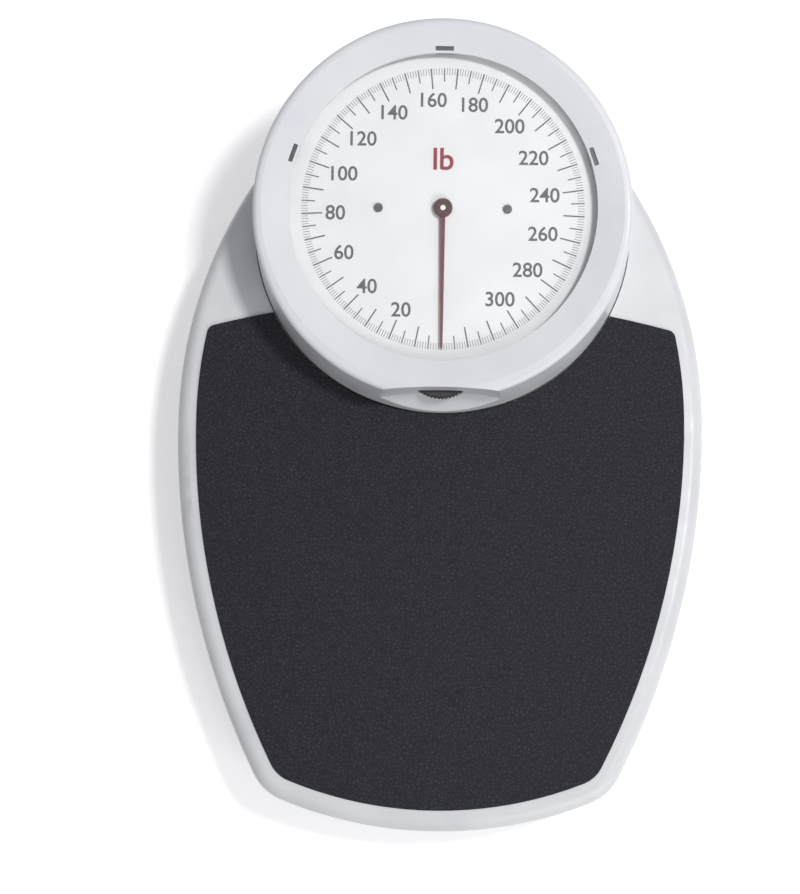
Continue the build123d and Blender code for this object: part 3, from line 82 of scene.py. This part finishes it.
def tint_between(material, shader, factor, low, high, start=cloud_thin, end=cloud_thick):
    """Let the colour drift between two tones."""
    nodes, links = material.node_tree.nodes, material.node_tree.links
    ramp = nodes.new("ShaderNodeValToRGB")
    ramp.color_ramp.elements[0].position = start
    ramp.color_ramp.elements[0].color = low
    ramp.color_ramp.elements[1].position = end
    ramp.color_ramp.elements[1].color = high
    links.new(factor, ramp.inputs["Fac"])
    links.new(ramp.outputs["Color"], shader.inputs["Base Color"])


def gloss_between(material, shader, factor, low, high):
    """Let the roughness drift between two values."""
    nodes, links = material.node_tree.nodes, material.node_tree.links
    spread = nodes.new("ShaderNodeMapRange")
    spread.inputs["From Min"].default_value = cloud_thin
    spread.inputs["From Max"].default_value = cloud_thick
    spread.inputs["To Min"].default_value = low
    spread.inputs["To Max"].default_value = high
    links.new(factor, spread.inputs["Value"])
    links.new(spread.outputs["Result"], shader.inputs["Roughness"])


def relief(material, shader, height, depth, strength=1.0):
    """Raise the surface by a pattern of a set depth in metres."""
    nodes, links = material.node_tree.nodes, material.node_tree.links
    bump = nodes.new("ShaderNodeBump")
    bump.inputs["Strength"].default_value = strength
    bump.inputs["Distance"].default_value = depth
    links.new(height, bump.inputs["Height"])
    if shader.inputs["Normal"].links:
        links.new(shader.inputs["Normal"].links[0].from_socket, bump.inputs["Normal"])
    links.new(bump.outputs["Normal"], shader.inputs["Normal"])


def dress(material, *names):
    """Give the carried-over pieces their finish."""
    for name in names:
        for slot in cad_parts[name].material_slots:
            slot.material = material


def stove_enamel(name, low, high):
    """Enamel on pressed sheet: even and smooth, with a faint orange-peel surface."""
    material, shader, place = plain_finish(name, roughness=0.32)
    tint_between(material, shader, speckle(material, place, 22, detail=4), low, high)
    gloss_between(material, shader, speckle(material, place, 60, detail=3), low=0.36, high=0.48)
    relief(material, shader, speckle(material, place, 480, detail=2), depth=0.00008, strength=0.35)
    shader.inputs["Coat Weight"].default_value = 0.05
    shader.inputs["Coat Roughness"].default_value = 0.25
    return material


pan_enamel = stove_enamel("pan_enamel", screen_colour(210, 211, 213), screen_colour(218, 219, 220))
dress(pan_enamel, "base_pan")

# Four moulded rubber feet, pulled through holes in the pan by their button heads.
# Their rubber is matte, with a little grey bloom and grit.


def moulded_rubber(name, low, high, grain):
    """Matte rubber with a fine dusty grain."""
    material, shader, place = plain_finish(name, roughness=0.75, shine=0.35)
    tint_between(material, shader, speckle(material, place, 140, detail=5), low, high)
    relief(material, shader, speckle(material, place, grain, detail=3), depth=0.0001, strength=0.5)
    return material


foot_rubber = moulded_rubber("foot_rubber", screen_colour(34, 34, 35), screen_colour(52, 52, 54), grain=1500)
dress(foot_rubber, "rubber_feet")

# Brackets folded from zinc-plated strip, fixed to the pan by rivets, hold the levers' knife edges.
# Fresh zinc is bluish and cloudy, with fine rolling lines.


def zinc_plate(name):
    """Zinc plating: bluish grey metal, cloudy in patches a few millimetres wide."""
    material, shader, place = plain_finish(name, roughness=0.38, metallic=0.9)
    cloud = speckle(material, place, 260, detail=4)
    tint_between(material, shader, cloud, screen_colour(168, 174, 180), screen_colour(206, 210, 212))
    gloss_between(material, shader, speckle(material, place, 700, detail=3), low=0.28, high=0.5)
    relief(material, shader, speckle(material, place, 900, detail=3, stretch=(1, 8, 1)),
           depth=0.00004, strength=0.4)
    return material


zinc = zinc_plate("zinc_plate")
dress(zinc, "front_fulcrum_left", "front_fulcrum_right", "rear_fulcrum_left", "rear_fulcrum_right",
      "base_rivets", "housing_screws")

# Two long and two short levers, pressed channels of plain steel with a film of oil.
# A cross plate joins the long levers' ends, and small seats on them carry the short levers.


def oiled_steel(name, low, high, along):
    """Rolled steel with fine draw lines and darker oily clouds."""
    material, shader, place = plain_finish(name, roughness=0.42, metallic=0.85)
    tint_between(material, shader, speckle(material, place, 90, detail=5), low, high)
    gloss_between(material, shader, speckle(material, place, 320, detail=4), low=0.3, high=0.55)
    relief(material, shader, speckle(material, place, 1400, detail=2, stretch=along),
           depth=0.00003, strength=0.5)
    return material


lever_steel = oiled_steel("lever_steel", screen_colour(112, 114, 117), screen_colour(150, 152, 154),
                          along=(8, 1, 8))
dress(lever_steel, "long_lever_left", "long_lever_right", "short_lever_left", "short_lever_right",
      "nose_plate", "transfer_seats")

# Hardened steel bars with ground edges carry all the loads in the levers.
# The nose bar between the long levers takes the main spring's lower loop.
ground_steel = oiled_steel("ground_steel", screen_colour(96, 98, 102), screen_colour(140, 142, 146),
                           along=(1, 12, 12))
dress(ground_steel, "long_lever_knives", "short_knives_left", "short_knives_right", "nose_bar")

# The bell crank, cut from steel sheet, turns the levers' drop into the rack's stroke.
# It rocks on a pin of ground steel in a small folded bracket, riveted to the pan.
dress(lever_steel, "bell_crank")
dress(zinc, "crank_bracket")
dress(ground_steel, "crank_pin")

# A folded bridge over the levers carries the dial's works: a brass bush and a small lower bracket.
# Brass is turned or milled, with fine tool lines.


def cut_brass(name, along):
    """Machined brass with tool lines and slightly darker patches."""
    material, shader, place = plain_finish(name, roughness=0.3, metallic=1.0)
    tint_between(material, shader, speckle(material, place, 180, detail=4), screen_colour(176, 146, 84),
                 screen_colour(212, 184, 118))
    relief(material, shader, speckle(material, place, 1800, detail=2, stretch=along),
           depth=0.00003, strength=0.5)
    return material


dress(zinc, "mechanism_frame", "lower_bearing_bracket")
dress(cut_brass("turned_brass", along=(1, 1, 9)), "upper_bearing", "zero_nut")
dress(cut_brass("milled_brass", along=(9, 1, 9)), "rack")
dress(ground_steel, "pinion")
bright_shaft = oiled_steel("bright_shaft", screen_colour(206, 202, 198), screen_colour(232, 230, 226),
                           along=(12, 12, 1))
dress(bright_shaft, "pinion_shaft")

# Black moulded parts: the guide that holds the rack in mesh and the posts under the dial.
# They are of one plastic, with the mould's fine texture, and sit on the folded bridge.


def moulded_black(name, low, high):
    """Black plastic with the mould's fine eroded texture."""
    material, shader, place = plain_finish(name, roughness=0.5, shine=0.45)
    tint_between(material, shader, speckle(material, place, 120, detail=3), low, high)
    relief(material, shader, speckle(material, place, 2600, detail=2), depth=0.00006, strength=0.4)
    return material


black_plastic = moulded_black("black_plastic", screen_colour(26, 26, 28), screen_colour(38, 38, 40))
dress(black_plastic, "rack_guide", "dial_posts")

# Springs are wound from drawn steel wire: the main one under the head, the small one at the rack.
# Their end loops hook over a pin or a bar, and the wire is a little darkened by its oil.
spring_wire = oiled_steel("spring_wire", screen_colour(86, 88, 92), screen_colour(128, 130, 134),
                          along=(6, 6, 1))
dress(spring_wire, "main_spring", "rack_spring")

# The zero wheel is a black knurled disc on a plated screw; its nut lifts a long steel arm.
# The wheel's rim shows in the finger pocket at the front of the head.
dress(black_plastic, "zero_wheel")
dress(zinc, "zero_screw", "zero_pedestal", "zero_arm_bracket")
dress(lever_steel, "zero_arm")
dress(ground_steel, "zero_arm_pin", "spring_pin")

# The head's housing and the bezel that closes it are moulded in white plastic, half gloss.
# The bezel's rim is rounded, and its inner slope falls to the window.


def moulded_white(name, low, high):
    """White plastic, half gloss, with faint flow clouds and a fine eroded texture."""
    material, shader, place = plain_finish(name, roughness=0.36)
    tint_between(material, shader, speckle(material, place, 16, detail=4), low, high)
    gloss_between(material, shader, speckle(material, place, 45, detail=3), low=0.3, high=0.44)
    relief(material, shader, speckle(material, place, 1300, detail=2), depth=0.00004, strength=0.35)
    return material


head_plastic = moulded_white("head_plastic", screen_colour(216, 217, 220), screen_colour(224, 225, 227))
dress(head_plastic, "head_housing", "bezel_ring")

# The dial is a flat plate printed in grey on white, fixed by two small dark slotted screws.
# One turn is 330 pounds, clockwise from the bottom, with a number at every 20.
pounds_per_turn = 330
tick_outer = 0.0852
tick_kinds = ((10, 0.0126, 0.00085), (5, 0.0082, 0.00070), (1, 0.0040, 0.00030))
number_ring = 0.0706
number_height = 0.0089
first_number, last_number, number_step = 20, 300, 20
unit_height = 0.0135
unit_above_hub = 0.0300
print_lift = 0.00004
letter_swell = 0.014
curve_steps = 6
plate_half_thickness = 0.0005

low, high = (Vector(corner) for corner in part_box("dial_plate"))
face_tilt = radians(8)
face_up = Vector((0, -sin(face_tilt), cos(face_tilt)))
face_back = Vector((0, cos(face_tilt), sin(face_tilt)))
dial_centre = (low + high) / 2 + face_up * (plate_half_thickness + print_lift)
dial_place = Matrix((
    (1, 0, 0, dial_centre.x),
    (0, face_back.y, face_up.y, dial_centre.y),
    (0, face_back.z, face_up.z, dial_centre.z),
    (0, 0, 0, 1),
))


def printed_card(name):
    """Matte white lacquer with a trace of paper-like unevenness."""
    material, shader, place = plain_finish(name, roughness=0.55)
    tint_between(material, shader, speckle(material, place, 35, detail=4), screen_colour(240, 241, 241),
                 screen_colour(247, 247, 246))
    relief(material, shader, speckle(material, place, 2200, detail=3), depth=0.00003, strength=0.3)
    return material


def printing_ink(name, low_tone, high_tone):
    """Screen-printed ink, a little uneven in density."""
    material, shader, place = plain_finish(name, roughness=0.6, shine=0.3)
    tint_between(material, shader, speckle(material, place, 900, detail=4), low_tone, high_tone)
    return material


def printed_piece(name, shape, ink):
    """Place a flat print on the dial plate."""
    mesh = bpy.data.meshes.new(name)
    shape.transform(dial_place)
    shape.to_mesh(mesh)
    shape.free()
    mesh.materials.append(ink)
    piece = bpy.data.objects.new(name, mesh)
    bpy.context.scene.collection.objects.link(piece)
    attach(piece, "base")
    return piece


def dial_direction(pounds):
    """The way from the hub to a weight's place on the dial."""
    turn = 2 * pi * pounds / pounds_per_turn
    return Vector((-sin(turn), -cos(turn), 0))


dress(printed_card("dial_card"), "dial_plate")
grey_ink = printing_ink("grey_ink", screen_colour(84, 85, 90), screen_colour(104, 105, 110))

scale_ticks = bmesh.new()
for pounds in range(pounds_per_turn):
    length, width = next(kind[1:] for kind in tick_kinds if pounds % kind[0] == 0)
    out = dial_direction(pounds)
    side = Vector((-out.y, out.x, 0)) * width / 2
    corners = (out * tick_outer + side, out * (tick_outer - length) + side,
               out * (tick_outer - length) - side, out * tick_outer - side)
    face = scale_ticks.faces.new([scale_ticks.verts.new(corner) for corner in corners])
    if face.normal.z < 0:
        face.normal_flip()
printed_piece("scale_ticks", scale_ticks, grey_ink)


def lettering(text, height):
    """Flat letters of a set height, centred on the origin."""
    curve = bpy.data.curves.new("letters", "FONT")
    curve.body = text
    curve.resolution_u = curve_steps
    curve.offset = letter_swell
    holder = bpy.data.objects.new("letters", curve)
    bpy.context.scene.collection.objects.link(holder)
    depsgraph = bpy.context.evaluated_depsgraph_get()
    mesh = bpy.data.meshes.new_from_object(holder.evaluated_get(depsgraph))
    shape = bmesh.new()
    shape.from_mesh(mesh)
    bpy.data.objects.remove(holder)
    bpy.data.curves.remove(curve)
    bpy.data.meshes.remove(mesh)
    xs = [v.co.x for v in shape.verts]
    ys = [v.co.y for v in shape.verts]
    grow = height / (max(ys) - min(ys))
    middle = Vector(((max(xs) + min(xs)) / 2, (max(ys) + min(ys)) / 2, 0))
    for v in shape.verts:
        v.co = (v.co - middle) * grow
    return shape, (max(xs) - min(xs)) * grow


dial_numbers = bmesh.new()
for pounds in range(first_number, last_number + 1, number_step):
    digits, width = lettering(str(pounds), number_height)
    out = dial_direction(pounds)
    reach = number_ring - sqrt((out.y * number_height / 2) ** 2 + (out.x * width / 2) ** 2)
    digits.transform(Matrix.Translation(out * reach))
    loose = bpy.data.meshes.new("loose_digits")
    digits.to_mesh(loose)
    digits.free()
    dial_numbers.from_mesh(loose)
    bpy.data.meshes.remove(loose)
printed_piece("dial_numbers", dial_numbers, grey_ink)

unit_letters, _ = lettering("lb", unit_height)
unit_letters.transform(Matrix.Translation(Vector((0.0, unit_above_hub, 0))))
printed_piece("unit_letters", unit_letters,
              printing_ink("red_ink", screen_colour(140, 20, 34), screen_colour(160, 34, 46)))


def blackened_steel(name):
    """Steel screws with a worn black finish."""
    material, shader, place = plain_finish(name, roughness=0.45, metallic=0.7)
    tint_between(material, shader, speckle(material, place, 1200, detail=4), screen_colour(48, 50, 52),
                 screen_colour(96, 98, 98))
    return material


dress(blackened_steel("blackened_steel"), "dial_screws")

# The pointer is stamped from thin sheet and painted dark red.
# A low brown plastic cap is pressed over its hub, and the bright end of the shaft shows in it.


def red_enamel(name):
    """Dark red enamel, even, with a soft gloss."""
    material, shader, place = plain_finish(name, roughness=0.35)
    tint_between(material, shader, speckle(material, place, 220, detail=3), screen_colour(88, 18, 24),
                 screen_colour(110, 26, 32))
    relief(material, shader, speckle(material, place, 1500, detail=2), depth=0.00002, strength=0.3)
    return material


def polished_cap(name):
    """Dark brown plastic, polished, with fine swirls."""
    material, shader, place = plain_finish(name, roughness=0.3, shine=0.25)
    tint_between(material, shader, speckle(material, place, 300, detail=4), screen_colour(64, 34, 28),
                 screen_colour(90, 50, 42))
    relief(material, shader, speckle(material, place, 1600, detail=3), depth=0.00002, strength=0.3)
    return material


dress(red_enamel("pointer_red"), "pointer")
dress(polished_cap("cap_dark"), "pointer_cap")

# The window is a clear moulded disc that lies against the bezel from below.
# Three plastic clips in the bezel's slots hold it by its edge; their dark grey is painted shade for the
# deep, narrow slots.


def clear_window(name):
    """Clear plastic, thin enough that the dial shows through undimmed."""
    material, shader, place = plain_finish(name, roughness=0.06)
    shader.inputs["Base Color"].default_value = screen_colour(236, 240, 242)
    shader.inputs["Alpha"].default_value = 0.04
    relief(material, shader, speckle(material, place, 30, detail=2), depth=0.0002, strength=0.05)
    return material


dress(clear_window("clear_window"), "dial_window")
# Painted shade: the clips' dark grey stands in for the shade down in the bezel's slots.
clips_painted_slot_shade = moulded_black("clips_painted_slot_shade", screen_colour(84, 85, 90), screen_colour(104, 105, 110))
dress(clips_painted_slot_shade, "window_clips")

# The platform is one deep pressing of steel sheet, stove enamelled white inside and out.
# Four folded hangers under it rest on the levers' knife edges.
cover_enamel = stove_enamel("cover_enamel", screen_colour(209, 210, 212), screen_colour(217, 218, 219))
dress(cover_enamel, "platform_cover")
dress(zinc, "front_hanger_left", "front_hanger_right", "rear_hanger_left", "rear_hanger_right")

# The mat is charcoal rubber with a fine leather grain, moulded in one piece.
# It is bonded into the platform's sunk bed, and stands a little above its rim.
pebbles_per_metre = 480
pebble_depth = 0.0006
crease_wander = 0.0022


def grained_mat(name):
    """Leather-grained rubber: small rounded pebbles between creases, with painted shade darkening the
    creases.
    """
    material, shader, place = plain_finish(name, roughness=0.72, shine=0.16)
    nodes, links = material.node_tree.nodes, material.node_tree.links
    wander = nodes.new("ShaderNodeTexNoise")
    wander.inputs["Scale"].default_value = 260
    wander.inputs["Detail"].default_value = 2
    links.new(place, wander.inputs["Vector"])
    push = nodes.new("ShaderNodeVectorMath")
    push.operation = "MULTIPLY_ADD"
    push.inputs[1].default_value = (crease_wander, crease_wander, crease_wander)
    links.new(wander.outputs["Color"], push.inputs[0])
    links.new(place, push.inputs[2])
    pebbles = nodes.new("ShaderNodeTexVoronoi")
    pebbles.feature = "DISTANCE_TO_EDGE"
    pebbles.inputs["Scale"].default_value = pebbles_per_metre
    links.new(push.outputs["Vector"], pebbles.inputs["Vector"])
    # Painted shade: the colour darkens towards the creases between the pebbles, where shade falls.
    tint_between(material, shader, pebbles.outputs["Distance"], screen_colour(32, 31, 36),
                 screen_colour(52, 51, 58), start=0.0, end=0.3)
    relief(material, shader, pebbles.outputs["Distance"], depth=pebble_depth, strength=0.6)
    relief(material, shader, speckle(material, place, 2400, detail=2), depth=0.00005, strength=0.4)
    return material


dress(grained_mat("grained_mat"), "foot_mat")

# The floor is a plain white sheet that keeps the scale's shadow.
# To the camera and in reflections it glows a little, so that it reads as white.
floor_half = 3.0
floor_tone = (0.96, 0.96, 0.96, 1)
floor_glow = 0.42


def seen_or_mirrored(tree):
    """One for rays from the camera, in a reflection or through the window, and nought for the rest."""
    path = tree.nodes.new("ShaderNodeLightPath")
    level = path.outputs["Is Camera Ray"]
    for kind in ("Is Glossy Ray", "Is Transmission Ray"):
        either = tree.nodes.new("ShaderNodeMath")
        either.operation = "MAXIMUM"
        tree.links.new(level, either.inputs[0])
        tree.links.new(path.outputs[kind], either.inputs[1])
        level = either.outputs["Value"]
    return level


def plain_floor():
    """A white floor that reads as white to the camera and in reflections."""
    mesh = bpy.data.meshes.new("floor")
    mesh.from_pydata([(-floor_half, -floor_half, 0), (floor_half, -floor_half, 0),
                      (floor_half, floor_half, 0), (-floor_half, floor_half, 0)], [], [(0, 1, 2, 3)])
    floor = bpy.data.objects.new("floor", mesh)
    bpy.context.scene.collection.objects.link(floor)
    material, shader, _ = plain_finish("floor_white", roughness=0.9, shine=0.0)
    shader.inputs["Base Color"].default_value = floor_tone
    nodes, links = material.node_tree.nodes, material.node_tree.links
    glow = nodes.new("ShaderNodeMath")
    glow.operation = "MULTIPLY"
    glow.inputs[1].default_value = floor_glow
    links.new(seen_or_mirrored(material.node_tree), glow.inputs[0])
    shader.inputs["Emission Color"].default_value = (1, 1, 1, 1)
    links.new(glow.outputs["Value"], shader.inputs["Emission Strength"])
    mesh.materials.append(material)


plain_floor()

# Studio light: a key lamp from high on the right, a wide soft fill from the front right,
# and a dim surround, which the camera and reflections see as a pale room.
surround_tone = (0.95, 0.955, 1.03, 1)
surround_light = 0.28
surround_seen = 0.92


def studio_lamp(name, place, aim, size, power):
    """A square soft lamp that points at a spot."""
    lamp = bpy.data.lights.new(name, "AREA")
    lamp.size = size
    lamp.energy = power
    holder = bpy.data.objects.new(name, lamp)
    holder.location = place
    holder.rotation_euler = (Vector(aim) - Vector(place)).to_track_quat("-Z", "Y").to_euler()
    bpy.context.scene.collection.objects.link(holder)


studio_lamp("key_lamp", place=(0.70, 0.20, 1.70), aim=(0, 0.02, 0.05), size=0.26, power=17.5)
studio_lamp("front_fill", place=(0.85, -1.30, 1.10), aim=(0, 0, 0.06), size=0.9, power=12)

world = bpy.data.worlds.new("surround")
bpy.context.scene.world = world
world.use_nodes = True
surround = world.node_tree.nodes["Background"]
surround.inputs["Color"].default_value = surround_tone
surround_level = world.node_tree.nodes.new("ShaderNodeMapRange")
surround_level.inputs["To Min"].default_value = surround_light
surround_level.inputs["To Max"].default_value = surround_seen
world.node_tree.links.new(seen_or_mirrored(world.node_tree), surround_level.inputs["Value"])
world.node_tree.links.new(surround_level.outputs["Result"], surround.inputs["Strength"])

# The camera stands about a metre above the mat and looks almost straight down.
# It leans a little to the front and is rolled by less than a degree, as in the photograph.
image_width = 800
sensor_width = 36
focal_pixels = 1727.0
camera_distance = 1.051
view_lean = radians(10.4)
view_roll = radians(0.7)
view_target = Vector((0, -0.0121, 0.052))
view_shift = -0.05

view_back = Vector((0, -sin(view_lean), cos(view_lean)))
level_up = Vector((0, cos(view_lean), sin(view_lean)))
level_right = Vector((1, 0, 0))
view_right = level_right * cos(view_roll) + level_up * sin(view_roll)
view_up = level_up * cos(view_roll) - level_right * sin(view_roll)
view_from = view_target + view_back * camera_distance
camera_data = bpy.data.cameras.new("camera")
camera_data.sensor_fit = "HORIZONTAL"
camera_data.sensor_width = sensor_width
camera_data.lens = focal_pixels * sensor_width / image_width
camera_data.shift_x = view_shift
camera_data.clip_start = 0.01
camera = bpy.data.objects.new("camera", camera_data)
camera.matrix_world = Matrix((
    (view_right.x, view_up.x, view_back.x, view_from.x),
    (view_right.y, view_up.y, view_back.y, view_from.y),
    (view_right.z, view_up.z, view_back.z, view_from.z),
    (0, 0, 0, 1),
))
bpy.context.scene.collection.objects.link(camera)
bpy.context.scene.camera = camera
bpy.context.scene.view_settings.view_transform = "Standard"
